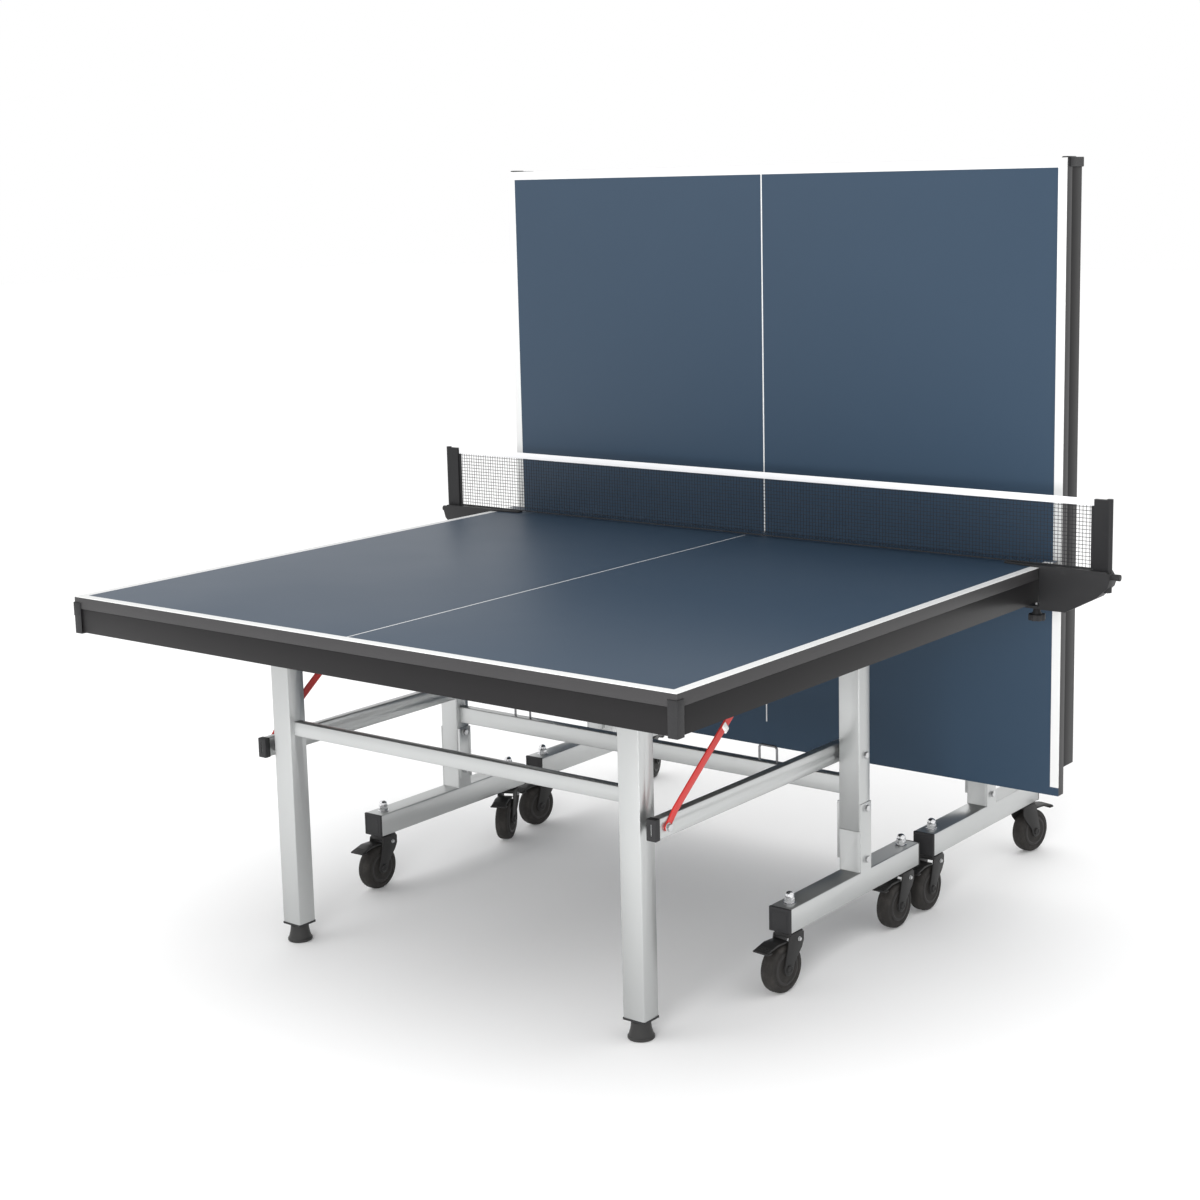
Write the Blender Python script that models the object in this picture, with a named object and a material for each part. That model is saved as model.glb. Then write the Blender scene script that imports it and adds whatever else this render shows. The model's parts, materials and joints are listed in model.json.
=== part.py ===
"""Folding table-tennis table, near half down for play and far half upright."""
import math

import bmesh
import bpy
from mathutils import Matrix, Vector

# ---- driving sizes, metres -------------------------------------------------
# Playing half: x along the net, y = 0 at the net edge, the half runs to -y.
HALF_WIDTH = 1.525          # along the net
HALF_LENGTH = 1.370         # net edge to end line
SURFACE_Z = 0.760           # playing surface above the floor
BOARD_T = 0.025             # board thickness
APRON_H = 0.0485            # steel edge channel height
APRON_W = 0.024             # channel flange width
APRON_WALL = 0.002
APRON_INSET = 0.0015        # channel face behind the board edge
APRON_STOP = 0.060          # channel stops this far short of the net edge
GUARD_LEG = 0.019           # corner guard along each side
GUARD_WALL = 0.0015
GUARD_DROP = 0.012          # guard top below the playing surface
NOSE_H = 0.027              # bumper round the upper part of the guard
NOSE_PROUD = 0.0015         # bumper beyond the guard's wall

# Folding linkage.  All four pivots are on axes along x.
UPRIGHT_Y = 0.477           # upright pivots to the net edge
TOP_PIVOT_DROP = 0.023      # top pivots below the underside of the board
LINK_Z = 0.418              # lower pivots above the floor
LINK_REACH = 0.603          # upright pivot to leg pivot
PIN_R = 0.005

# Base frames
FRAME_X = 0.551             # centre of base bar and upright
BAR_S = 0.050               # square base bar
BAR_Z = 0.124               # underside of base bar
BAR_WALL = 0.0025
BAR_LENGTH = 0.505
NEAR_BAR_FRONT = 0.284      # upright centre to the outer end of the near bar
FAR_BAR_FRONT = 0.239       # the same on the far half
UPRIGHT_W = 0.049           # along x
UPRIGHT_D = 0.042           # along y
UPRIGHT_TOP = 0.007         # above the top pivot
SEAM_Z = 0.260              # joint between the stub and the upright
PLATE_LOW = 0.197           # inner splice plate
PLATE_TOP = 0.318
CROSS_LOW = 0.331           # crossbar between the uprights
CROSS_H = 0.038
CROSS_D = 0.022
HANDLE_X = 0.338            # wire handles on the crossbar
HANDLE_W = 0.044
HANDLE_H = 0.036
HANDLE_R = 0.0026

# Legs
LEG_X = 0.455
LEG_W = 0.050
LEG_D = 0.045
LEG_SET = 0.004             # leg centre behind its pivots
LEG_BOTTOM = 0.040
LEG_CROSS_LOW = 0.4515
LEG_CROSS_H = 0.030
LEG_CROSS_D = 0.020
FOOT_R = 0.026
FOOT_TRAVEL = 0.012

# Links and lock levers
LINK_X = 0.510
LINK_W = 0.020
LINK_H = 0.040
LINK_TAIL = 0.033           # past the leg pivot
LEVER_T = 0.0035
LEVER_W = 0.016
LEVER_LENGTH = 0.452
LEVER_ANGLE = 38.0          # above the link
LEVER_SWING = 46.0 / 90.0   # lever turn against the link, per turn of the fold
RAIL_H = 0.012              # flat rails under the board that carry the lugs
LEG_LUG_X = 0.484
LEG_LUG_T = 0.004
UP_LUG_T = 0.0025

# Casters
WHEEL_R = 0.050
WHEEL_W = 0.031
TRAIL = 0.028
STEM_IN = 0.036             # caster stem from the end of the base bar
STEM_R = 0.006
FORK_T = 0.003
WHEEL_GAP = 0.0025          # wheel to fork plate

# Net set
NET_Y = 0.070               # net plane in from the net edge
NET_H = 0.1525
NET_T = 0.003
POST_OUT = 0.1165           # side edge of the board to the inner edge of the post
POST_W = 0.045
POST_T = 0.013
JAW_REACH = 0.085           # upper jaw over the board
JAW_T = 0.004
ARM_D = 0.036               # bracket depth along y
CORD_R = 0.001
CORD_DROP = 0.150

# Far half: upright position, and the quarter turn of its top
FAR_UPRIGHT_Y = 0.069
FAR_FOLD = math.radians(90.0)

GAP = 0.0003                # between pieces that touch
RUN = 0.0004                # running clearance round a pin
CORNER_R = 0.0028           # outside corners of the tubes

# ---- derived ---------------------------------------------------------------
BOARD_LOW = SURFACE_Z - BOARD_T
TOP_PIVOT_Z = BOARD_LOW - TOP_PIVOT_DROP
APRON_TOP = BOARD_LOW - GAP
APRON_LOW = APRON_TOP - APRON_H
BAR_TOP = BAR_Z + BAR_S
POST_X = HALF_WIDTH / 2 + POST_OUT
LEG_PIVOT_Y = UPRIGHT_Y + LINK_REACH
LEG_Y = LEG_PIVOT_Y + LEG_SET
BAR_OUT = FRAME_X + BAR_S / 2
BAR_IN = FRAME_X - BAR_S / 2
UP_OUT = BAR_OUT - 0.0025
UP_IN = UP_OUT - UPRIGHT_W
UP_LUG_X = UP_IN - 0.0008 - UP_LUG_T / 2


# ---- mesh helpers ----------------------------------------------------------
def clear_scene():
    for old in list(bpy.data.objects):
        bpy.data.objects.remove(old, do_unlink=True)


def box(x0, x1, y0, y1, z0, z1):
    bm = bmesh.new()
    bmesh.ops.create_cube(bm, size=1.0)
    size = Matrix.Diagonal((x1 - x0, y1 - y0, z1 - z0, 1.0))
    centre = Vector(((x0 + x1) / 2, (y0 + y1) / 2, (z0 + z1) / 2))
    bmesh.ops.transform(bm, matrix=Matrix.Translation(centre) @ size, verts=bm.verts)
    return bm


def turn_for(axis):
    """Turn that takes the z axis to x, y or z and keeps the order of the others."""
    if axis == "X":
        return Matrix(((0, 0, 1, 0), (1, 0, 0, 0), (0, 1, 0, 0), (0, 0, 0, 1)))
    if axis == "Y":
        return Matrix(((0, 1, 0, 0), (0, 0, 1, 0), (1, 0, 0, 0), (0, 0, 0, 1)))
    return Matrix.Identity(4)


def prism(points, low, high, axis):
    """Straight prism over a flat outline; outline axes follow x, y, z in turn."""
    bm = bmesh.new()
    bottom = [bm.verts.new((u, v, low)) for u, v in points]
    top = [bm.verts.new((u, v, high)) for u, v in points]
    bm.faces.new(list(reversed(bottom)))
    bm.faces.new(top)
    for i in range(len(points)):
        j = (i + 1) % len(points)
        bm.faces.new((bottom[i], bottom[j], top[j], top[i]))
    bmesh.ops.transform(bm, matrix=turn_for(axis), verts=bm.verts)
    bmesh.ops.recalc_face_normals(bm, faces=bm.faces)
    return bm


def rounded(u0, u1, v0, v1, radius, steps=2):
    """Outline of a rectangle with rounded corners."""
    points = []
    corners = ((u1, v1, 0), (u0, v1, 90), (u0, v0, 180), (u1, v0, 270))
    for u, v, start in corners:
        cu = u - radius if u == u1 else u + radius
        cv = v - radius if v == v1 else v + radius
        for i in range(steps + 1):
            angle = math.radians(start + 90 * i / steps)
            points.append((cu + radius * math.cos(angle), cv + radius * math.sin(angle)))
    return points


def bar(x0, x1, y0, y1, z0, z1, axis, radius=CORNER_R, steps=2):
    """Square or flat bar along one axis with its long edges rounded."""
    if axis == "X":
        return prism(rounded(y0, y1, z0, z1, radius, steps), x0, x1, "X")
    if axis == "Y":
        return prism(rounded(z0, z1, x0, x1, radius, steps), y0, y1, "Y")
    return prism(rounded(x0, x1, y0, y1, radius, steps), z0, z1, "Z")


def rod(radius, low, high, axis, at=(0.0, 0.0), segments=12):
    """Round bar; at gives its place in the two axes that follow in turn."""
    points = []
    for i in range(segments):
        angle = 2 * math.pi * i / segments
        points.append((at[0] + radius * math.cos(angle), at[1] + radius * math.sin(angle)))
    return prism(points, low, high, axis)


def lathe(profile, segments, axis, closed):
    """Solid of revolution of (radius, height) points; closed keeps a bore."""
    bm = bmesh.new()
    rings = []
    for radius, height in profile:
        if radius == 0.0:
            rings.append([bm.verts.new((0.0, 0.0, height))])
            continue
        ring = []
        for i in range(segments):
            angle = 2 * math.pi * i / segments
            ring.append(bm.verts.new((radius * math.cos(angle), radius * math.sin(angle), height)))
        rings.append(ring)
    count = len(rings)
    for k in range(count if closed else count - 1):
        a, b = rings[k], rings[(k + 1) % count]
        for i in range(segments):
            j = (i + 1) % segments
            if len(a) == 1:
                bm.faces.new((a[0], b[i], b[j]))
            elif len(b) == 1:
                bm.faces.new((a[i], a[j], b[0]))
            else:
                bm.faces.new((a[i], a[j], b[j], b[i]))
    if not closed:
        for ring in (rings[0], rings[-1]):
            if len(ring) > 1:
                bm.faces.new(ring)
    bmesh.ops.transform(bm, matrix=turn_for(axis), verts=bm.verts)
    bmesh.ops.recalc_face_normals(bm, faces=bm.faces)
    return bm


def moved(bm, x=0.0, y=0.0, z=0.0):
    bmesh.ops.translate(bm, vec=(x, y, z), verts=bm.verts)
    return bm


def mirrored(bm):
    """Left-hand copy of a right-hand solid."""
    copy = bm.copy()
    bmesh.ops.scale(copy, vec=(-1.0, 1.0, 1.0), verts=copy.verts)
    bmesh.ops.reverse_faces(copy, faces=copy.faces)
    return copy


def temporary(bm):
    mesh = bpy.data.meshes.new("temporary")
    bm.to_mesh(mesh)
    bm.free()
    thing = bpy.data.objects.new("temporary", mesh)
    bpy.context.scene.collection.objects.link(thing)
    return thing


def combine(base, tools, operation):
    """Exact union or difference of a solid with a list of solids."""
    thing = temporary(base)
    for tool in tools:
        other = temporary(tool)
        step = thing.modifiers.new("step", "BOOLEAN")
        step.solver = "EXACT"
        step.operation = operation
        step.object = other
        depsgraph = bpy.context.evaluated_depsgraph_get()
        result = bpy.data.meshes.new_from_object(thing.evaluated_get(depsgraph))
        thing.modifiers.clear()
        thing.data = result
        bpy.data.objects.remove(other, do_unlink=True)
    bm = bmesh.new()
    bm.from_mesh(thing.data)
    bpy.data.objects.remove(thing, do_unlink=True)
    bmesh.ops.remove_doubles(bm, verts=bm.verts, dist=1e-6)
    bmesh.ops.dissolve_limit(bm, angle_limit=0.0005, verts=bm.verts, edges=bm.edges)
    return bm


def united(parts):
    return combine(parts[0], parts[1:], "UNION")


def cut(base, tools):
    return combine(base, tools, "DIFFERENCE")


# ---- materials and placing -------------------------------------------------
FINISHES = {
    "table_blue": ((0.075, 0.115, 0.185), 0.0, 0.45),
    "apron_black": ((0.022, 0.021, 0.022), 0.3, 0.45),
    "frame_silver": ((0.42, 0.43, 0.44), 0.7, 0.38),
    "moulded_black": ((0.018, 0.018, 0.019), 0.0, 0.5),
    "tread_black": ((0.035, 0.032, 0.03), 0.0, 0.65),
    "lever_red": ((0.50, 0.035, 0.03), 0.0, 0.4),
    "net_black": ((0.015, 0.015, 0.018), 0.0, 0.8),
    "cord_white": ((0.8, 0.8, 0.8), 0.0, 0.6),
}


def finish(name, node):
    """One material per node, named after the finish and the node."""
    colour, metallic, roughness = FINISHES[name]
    material = bpy.data.materials.new(name + "." + node)
    material.use_nodes = True
    shader = material.node_tree.nodes["Principled BSDF"]
    shader.inputs["Base Color"].default_value = (*colour, 1.0)
    shader.inputs["Metallic"].default_value = metallic
    shader.inputs["Roughness"].default_value = roughness
    return material


def node(name, bm, finish_name, origin, place, smooth=False):
    """Finished piece: mesh about its own origin, object placed by its matrix."""
    bmesh.ops.translate(bm, vec=-Vector(origin), verts=bm.verts)
    bmesh.ops.triangulate(bm, faces=bm.faces)
    if smooth:
        for face in bm.faces:
            face.smooth = True
    mesh = bpy.data.meshes.new(name)
    bm.to_mesh(mesh)
    bm.free()
    mesh.materials.append(finish(finish_name, name))
    thing = bpy.data.objects.new(name, mesh)
    bpy.context.scene.collection.objects.link(thing)
    thing.matrix_world = place @ Matrix.Translation(Vector(origin))
    return thing


# ---- pieces of one half, right-hand side at +x -------------------------------
def make_board():
    half = HALF_WIDTH / 2
    outline = rounded(-half, half, -HALF_LENGTH, 0.0, 0.002)
    return prism(outline, BOARD_LOW, SURFACE_Z, "Z")


def make_apron():
    """Channel round three sides, and two flat rails that carry the lugs."""
    out = HALF_WIDTH / 2 - APRON_INSET
    end = -HALF_LENGTH + APRON_INSET
    stop = -APRON_STOP
    wall = APRON_WALL
    section = ((0.0, APRON_LOW), (0.0, APRON_TOP), (APRON_W, APRON_TOP),
               (APRON_W, APRON_TOP - wall), (wall, APRON_TOP - wall),
               (wall, APRON_LOW + wall), (APRON_W, APRON_LOW + wall), (APRON_W, APRON_LOW))
    bm = bmesh.new()
    stations = [[], [], [], []]
    for depth, z in section:
        stations[0].append(bm.verts.new((-out + depth, stop, z)))
        stations[1].append(bm.verts.new((-out + depth, end + depth, z)))
        stations[2].append(bm.verts.new((out - depth, end + depth, z)))
        stations[3].append(bm.verts.new((out - depth, stop, z)))
    count = len(section)
    for a, b in zip(stations, stations[1:]):
        for i in range(count):
            j = (i + 1) % count
            bm.faces.new((a[i], a[j], b[j], b[i]))
    bm.faces.new(stations[0])
    bm.faces.new(stations[3])
    bmesh.ops.recalc_face_normals(bm, faces=bm.faces)
    rail_top = APRON_TOP - wall / 2
    rail_low = APRON_TOP - RAIL_H
    lug_low = TOP_PIVOT_Z - 0.013
    rails = []
    holes = []
    lugs = ((UPRIGHT_Y, UP_LUG_X, UP_LUG_T), (LEG_PIVOT_Y, LEG_LUG_X, LEG_LUG_T))
    for lug_y, lug_x, thick in lugs:
        outline = [(end + wall / 2, rail_low), (end + wall / 2, rail_top),
                   (-lug_y + 0.013, rail_top), (-lug_y + 0.013, lug_low),
                   (-lug_y - 0.014, lug_low), (-lug_y - 0.018, rail_low)]
        for side in (1, -1):
            x0, x1 = sorted((side * (lug_x - thick / 2), side * (lug_x + thick / 2)))
            rails.append(prism(outline, x0, x1, "X"))
        reach = lug_x + 0.01
        holes.append(rod(PIN_R + RUN, -reach, reach, "X", (-lug_y, TOP_PIVOT_Z)))
    return cut(united([bm] + rails), holes)


def make_guard():
    """Moulded corner, open inwards, that wraps the board and the channel."""
    out = HALF_WIDTH / 2
    end = -HALF_LENGTH
    top = SURFACE_Z - GUARD_DROP
    proud = GUARD_WALL + NOSE_PROUD
    wings = bar(out - GUARD_LEG, out + GUARD_WALL, end - GUARD_WALL, end + GUARD_LEG,
                APRON_LOW - 0.0025, top, "Z", GUARD_WALL, 2)
    nose = bar(out - GUARD_LEG, out + proud, end - proud, end + GUARD_LEG,
               top - NOSE_H, top, "Z", 0.004, 3)
    shell = united([wings, nose])
    inside = box(out - GUARD_LEG - 0.01, out + GAP, end - GAP, end + GUARD_LEG + 0.01,
                 APRON_LOW - GAP, SURFACE_Z + 0.01)
    under = box(out - GUARD_LEG - 0.01, out - 0.012, end + 0.012, end + GUARD_LEG + 0.01,
                APRON_LOW - 0.01, SURFACE_Z)
    return cut(shell, [inside, under])


def make_t_frame(y_front):
    """Base bar, stub, splice plates, upright and its two pivot pins."""
    y_back = y_front + BAR_LENGTH
    y = -UPRIGHT_Y
    base = bar(BAR_IN, BAR_OUT, y_front, y_back, BAR_Z, BAR_TOP, "Y")
    hollow = box(BAR_IN + BAR_WALL, BAR_OUT - BAR_WALL, y_front - 0.01, y_back + 0.01,
                 BAR_Z + BAR_WALL, BAR_TOP - BAR_WALL)
    base = cut(base, [hollow])
    half = UPRIGHT_D / 2
    top = TOP_PIVOT_Z + UPRIGHT_TOP
    post = bar(UP_IN, UP_OUT, y - half, y + half, SEAM_Z + 0.0008, top, "Z")
    post = cut(post, [box(UP_IN + BAR_WALL, UP_OUT - BAR_WALL, y - half + BAR_WALL,
                          y + half - BAR_WALL, SEAM_Z - 0.01, top + 0.01)])
    stub = bar(UP_IN, UP_OUT, y - half, y + half, BAR_TOP - 0.001, SEAM_Z, "Z")
    stub = cut(stub, [box(UP_IN + BAR_WALL, UP_OUT - BAR_WALL, y - half + BAR_WALL,
                          y + half - BAR_WALL, BAR_TOP - 0.01, SEAM_Z + 0.01)])
    outer = box(UP_OUT - 0.0005, BAR_OUT, y - half + 0.0005, y + half - 0.0005,
                BAR_TOP - CORNER_R, PLATE_TOP)
    inner = box(UP_IN - 0.0035, UP_IN + 0.0005, y - half + 0.003, y + half - 0.003,
                PLATE_LOW, PLATE_TOP)
    rails = []
    for edge in (-1, 1):
        y0, y1 = sorted((y + edge * (half - 0.007), y + edge * (half - 0.002)))
        rails.append(box(UP_IN - 0.0055, UP_IN + 0.0005, y0, y1, PLATE_LOW, PLATE_TOP))
    pins = [
        rod(PIN_R, UP_LUG_X - UP_LUG_T / 2 - 0.0006, UP_OUT - 0.001, "X", (y, TOP_PIVOT_Z)),
        rod(PIN_R, LINK_X - LINK_W / 2 - 0.0015, UP_OUT - 0.001, "X", (y, LINK_Z)),
    ]
    frame = united([base, stub, outer, post, inner] + rails + pins)
    holes = []
    for stem_y in (y_front + STEM_IN, y_back - STEM_IN):
        holes.append(rod(STEM_R + RUN, BAR_Z - 0.01, BAR_Z + 0.02, "Z", (FRAME_X, stem_y)))
    return cut(frame, holes)


def make_crossbar():
    """Tube between the uprights with two wire handles."""
    reach = UP_IN - GAP
    y = -UPRIGHT_Y
    z_top = CROSS_LOW + CROSS_H
    tube = bar(-reach, reach, y - CROSS_D / 2, y + CROSS_D / 2, CROSS_LOW, z_top, "X", 0.0022)
    tube = cut(tube, [box(-reach - 0.01, reach + 0.01, y - CROSS_D / 2 + 0.002,
                          y + CROSS_D / 2 - 0.002, CROSS_LOW + 0.002, z_top - 0.002)])
    wires = []
    for side in (1, -1):
        x = side * HANDLE_X
        bend = HANDLE_W / 2
        high = z_top + HANDLE_H - HANDLE_R
        for end in (-1, 1):
            wires.append(rod(HANDLE_R, z_top - 0.001, high, "Z", (x + end * bend, y), 8))
            knee = bmesh.new()
            bmesh.ops.create_icosphere(knee, subdivisions=1, radius=HANDLE_R * 1.02)
            wires.append(moved(knee, x + end * bend, y, high))
        wires.append(rod(HANDLE_R, x - bend, x + bend, "X", (y, high), 8))
    return united([tube] + wires)


def make_leg_frame():
    """Two legs and the tube between them, with pivot pins."""
    y = -LEG_Y
    half = LEG_D / 2
    top = TOP_PIVOT_Z + 0.007
    parts = []
    for side in (1, -1):
        x0, x1 = side * LEG_X - LEG_W / 2, side * LEG_X + LEG_W / 2
        leg = bar(x0, x1, y - half, y + half, LEG_BOTTOM, top, "Z")
        inside = box(x0 + 0.0025, x1 - 0.0025, y - half + 0.0025, y + half - 0.0025,
                     LEG_BOTTOM + 0.004, top + 0.01)
        hole = rod(STEM_R + RUN, LEG_BOTTOM - 0.01, LEG_BOTTOM + 0.01, "Z", (side * LEG_X, y))
        parts.append(cut(leg, [inside, hole]))
    cross_y = y - half + 0.012
    reach = LEG_X - LEG_W / 2 + 0.0005
    tube = bar(-reach, reach, cross_y, cross_y + LEG_CROSS_D, LEG_CROSS_LOW,
               LEG_CROSS_LOW + LEG_CROSS_H, "X", 0.0022)
    parts.append(tube)
    outer = LEG_X + LEG_W / 2
    for side in (1, -1):
        lug_pin = sorted((side * (outer - 0.001), side * (LEG_LUG_X + LEG_LUG_T / 2 + 0.0012)))
        link_pin = sorted((side * (outer - 0.001), side * (LINK_X + LINK_W / 2 + LEVER_T + 0.004)))
        parts.append(rod(PIN_R, *lug_pin, "X", (-LEG_PIVOT_Y, TOP_PIVOT_Z)))
        parts.append(rod(PIN_R, *link_pin, "X", (-LEG_PIVOT_Y, LINK_Z)))
        spacer = sorted((side * (outer - 0.001), side * (LINK_X - LINK_W / 2 - GAP)))
        parts.append(rod(0.010, *spacer, "X", (-LEG_PIVOT_Y, LINK_Z), 16))
    return united(parts)


def make_foot(side):
    """Bell-shaped levelling foot on a threaded stem."""
    low = LEG_BOTTOM - 0.0055
    profile = [(0.0, 0.0), (FOOT_R - 0.002, 0.0), (FOOT_R, 0.002), (FOOT_R, 0.006),
               (0.0215, 0.014), (0.0185, low), (STEM_R, low),
               (STEM_R, LEG_BOTTOM + 0.040), (0.0, LEG_BOTTOM + 0.040)]
    return moved(lathe(profile, 20, "Z", False), side * LEG_X, -LEG_Y, 0.0)


def make_link():
    """Side rail: rectangular tube, shut at the leg end, open at the upright end."""
    x0, x1 = LINK_X - LINK_W / 2, LINK_X + LINK_W / 2
    y0, y1 = -LEG_PIVOT_Y - LINK_TAIL, -UPRIGHT_Y + 0.014
    z0, z1 = LINK_Z - LINK_H / 2, LINK_Z + LINK_H / 2
    tube = bar(x0, x1, y0, y1, z0, z1, "Y", 0.0022)
    inside = box(x0 + 0.002, x1 - 0.002, y0 + 0.003, y1 + 0.01, z0 + 0.002, z1 - 0.002)
    holes = [rod(PIN_R + RUN, x0 - 0.01, x1 + 0.01, "X", (y, LINK_Z))
             for y in (-LEG_PIVOT_Y, -UPRIGHT_Y)]
    return cut(tube, [inside] + holes)


def make_lever():
    """Flat bar with a joggle near its pivot and a notched upper end."""
    x0 = LINK_X + LINK_W / 2 + GAP
    half = LEVER_W / 2
    spine = [(0.0, 0.0), (0.034, 0.006), (0.060, -0.006 + 0.012), (LEVER_LENGTH, 0.0)]
    upper = [(u, v + half) for u, v in spine]
    lower = [(u, v - half) for u, v in reversed(spine)]
    turn = math.radians(LEVER_ANGLE)
    points = []
    for i in range(5):
        angle = math.radians(120 + 30 * i)
        points.append((half * math.cos(angle), half * math.sin(angle)))
    outline = points[::-1] + upper[1:] + lower[:-1]
    flat = []
    for u, v in outline:
        y = -LEG_PIVOT_Y + u * math.cos(turn) - v * math.sin(turn)
        z = LINK_Z + u * math.sin(turn) + v * math.cos(turn)
        flat.append((y, z))
    plate = prism(flat, x0, x0 + LEVER_T, "X")
    tip_y = -LEG_PIVOT_Y + (LEVER_LENGTH - 0.016) * math.cos(turn)
    tip_z = LINK_Z + (LEVER_LENGTH - 0.016) * math.sin(turn)
    hole = rod(PIN_R + RUN, x0 - 0.01, x0 + 0.02, "X", (-LEG_PIVOT_Y, LINK_Z))
    notch = rod(0.0045, x0 - 0.01, x0 + 0.02, "X", (tip_y, tip_z), 12)
    return cut(plate, [hole, notch])


def make_fork():
    """Swivel fork about the stem axis, wheel trailing to -y; z from the floor."""
    top = BAR_Z - GAP
    crown = top - 0.0115
    plate_in = WHEEL_W / 2 + WHEEL_GAP
    parts = [
        rod(0.0175, top - 0.005, top, "Z", segments=16),
        rod(STEM_R, top - 0.001, BAR_Z + 0.026, "Z"),
        prism(rounded(-plate_in - FORK_T, plate_in + FORK_T, -0.026, 0.019, 0.006, 2),
              crown, top - 0.004, "Z"),
    ]
    outline = [(0.019, crown + 0.004), (-0.026, crown + 0.004), (-0.031, 0.092), (-0.041, 0.056)]
    for i in range(5):
        angle = math.radians(195 + 150 * i / 4)
        outline.append((-TRAIL + 0.0135 * math.cos(angle), WHEEL_R + 0.0135 * math.sin(angle)))
    outline += [(-0.010, 0.060), (0.012, 0.085), (0.019, 0.098)]
    for side in (1, -1):
        x0, x1 = sorted((side * plate_in, side * (plate_in + FORK_T)))
        parts.append(prism(outline, x0, x1, "X"))
    parts.append(rod(PIN_R, -plate_in - 0.001, plate_in + 0.001, "X", (-TRAIL, WHEEL_R)))
    return united(parts)


def make_wheel():
    """Tyre and rim about the x axis through the origin, with a bore."""
    half = WHEEL_W / 2
    bore = PIN_R + RUN
    side = [(0.034, half), (0.045, half - 0.001), (WHEEL_R, half - 0.008)]
    profile = [(bore, -half)]
    profile += [(r, -h) for r, h in side]
    profile += [(r, h) for r, h in reversed(side)]
    profile += [(bore, half)]
    return lathe(profile, 28, "X", True)


def make_pedal():
    """Brake pedal between the fork plates, hinged on x at its front edge."""
    x = WHEEL_W / 2 + WHEEL_GAP - 0.0008
    outline = [(-0.0265, 0.1035), (-0.0265, 0.1075), (-0.060, 0.1085), (-0.093, 0.1000),
               (-0.093, 0.0965), (-0.058, 0.1035)]
    return prism(outline, -x, x, "X")


# ---- net set, right-hand side --------------------------------------------------
def make_bracket():
    """Clamp bracket: jaw over the board, arm outwards, lower jaw with screw hole."""
    edge = HALF_WIDTH / 2
    y0, y1 = -NET_Y - ARM_D / 2, -NET_Y + ARM_D / 2
    side_in = edge + 0.001
    outer = POST_X + POST_W
    low = 0.6705
    jaw_top = SURFACE_Z + GAP + JAW_T
    jaw = prism([(edge - JAW_REACH, y0 + 0.010), (edge - JAW_REACH, y1 - 0.010),
                 (side_in + 0.002, y1), (side_in + 0.002, y0)], SURFACE_Z + GAP, jaw_top, "Z")
    arm = prism([(low, side_in), (low, side_in + 0.060), (0.7080, outer - 0.030),
                 (0.7320, outer - 0.006), (0.7480, outer - 0.001), (jaw_top, outer - 0.012),
                 (jaw_top, side_in)], y0, y1, "Y")
    lower = box(edge - 0.032, side_in + 0.002, y0 + 0.004, y1 - 0.004, low, low + 0.006)
    knob = rod(0.007, outer - 0.004, outer + 0.014, "X", (-NET_Y, 0.752), 16)
    cleat = rod(0.009, 0.7190, 0.7330, "Z", (outer - 0.014, -NET_Y), 16)
    body = united([arm, jaw, lower, knob, cleat])
    post_seat = box(POST_X - GAP, outer + 0.02, -NET_Y - POST_T / 2 - GAP,
                    -NET_Y + POST_T / 2 + GAP, 0.7600, jaw_top + 0.02)
    screw_hole = rod(0.0046, low - 0.01, low + 0.02, "Z", (edge - 0.0115, -NET_Y))
    return cut(body, [post_seat, screw_hole])


def make_post():
    """Upright blade with a round outer edge that the net cord runs in."""
    x0 = POST_X
    low = 0.7603
    high = SURFACE_Z + NET_H + 0.0015
    blade = bar(x0, x0 + 0.036, -NET_Y - 0.0055, -NET_Y + 0.0055, low, high - 0.002, "Z", 0.002)
    tube = rod(POST_T / 2, low, high, "Z", (x0 + 0.034, -NET_Y), 20)
    return united([blade, tube])


def make_clamp():
    """Clamp screw with a lobed knob; slides along z."""
    x = HALF_WIDTH / 2 - 0.0115
    tip = APRON_LOW - GAP
    lobes = []
    for i in range(32):
        angle = 2 * math.pi * i / 32
        radius = 0.0175 + 0.0015 * math.cos(8 * angle)
        lobes.append((x + radius * math.cos(angle), -NET_Y + radius * math.sin(angle)))
    knob = prism(lobes, 0.6440, 0.6570, "Z")
    neck = moved(lathe([(0.012, 0.6565), (0.0085, 0.6620), (0.0070, 0.6695), (0.0, 0.6695)],
                       16, "Z", False), x, -NET_Y, 0.0)
    screw = rod(0.0042, 0.6600, tip, "Z", (x, -NET_Y))
    return united([knob, neck, screw])


def make_net():
    jaw_top = SURFACE_Z + GAP + JAW_T
    return box(-POST_X + GAP, POST_X - GAP, -NET_Y - NET_T / 2, -NET_Y + NET_T / 2,
               jaw_top + GAP, SURFACE_Z + NET_H)


def make_cord(place):
    """Tail of the net cord, hanging from the right-hand cleat."""
    x = POST_X + POST_W - 0.014
    start_z = 0.7187 - CORD_R
    curve = bpy.data.curves.new("net_cord", "CURVE")
    curve.dimensions = "3D"
    curve.bevel_depth = CORD_R
    curve.bevel_resolution = 2
    curve.use_fill_caps = True
    spline = curve.splines.new("POLY")
    count = 20
    spline.points.add(count - 1)
    for i in range(count):
        t = i / (count - 1)
        swing = 0.010 * math.sin(math.pi * t) - 0.004 * t
        spline.points[i].co = (x + swing, -NET_Y, start_z - CORD_DROP * t, 1.0)
    thing = bpy.data.objects.new("net_cord", curve)
    curve.materials.append(finish("cord_white", "net_cord"))
    bpy.context.scene.collection.objects.link(thing)
    thing.matrix_world = place
    return thing


# ---- one whole half --------------------------------------------------------------
def fold_matrix(pivot_y, pivot_z, angle):
    """Turn about an x axis; a positive angle lowers the net edge of the half."""
    centre = Matrix.Translation(Vector((0.0, pivot_y, pivot_z)))
    return centre @ Matrix.Rotation(-angle, 4, "X") @ centre.inverted()


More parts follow.
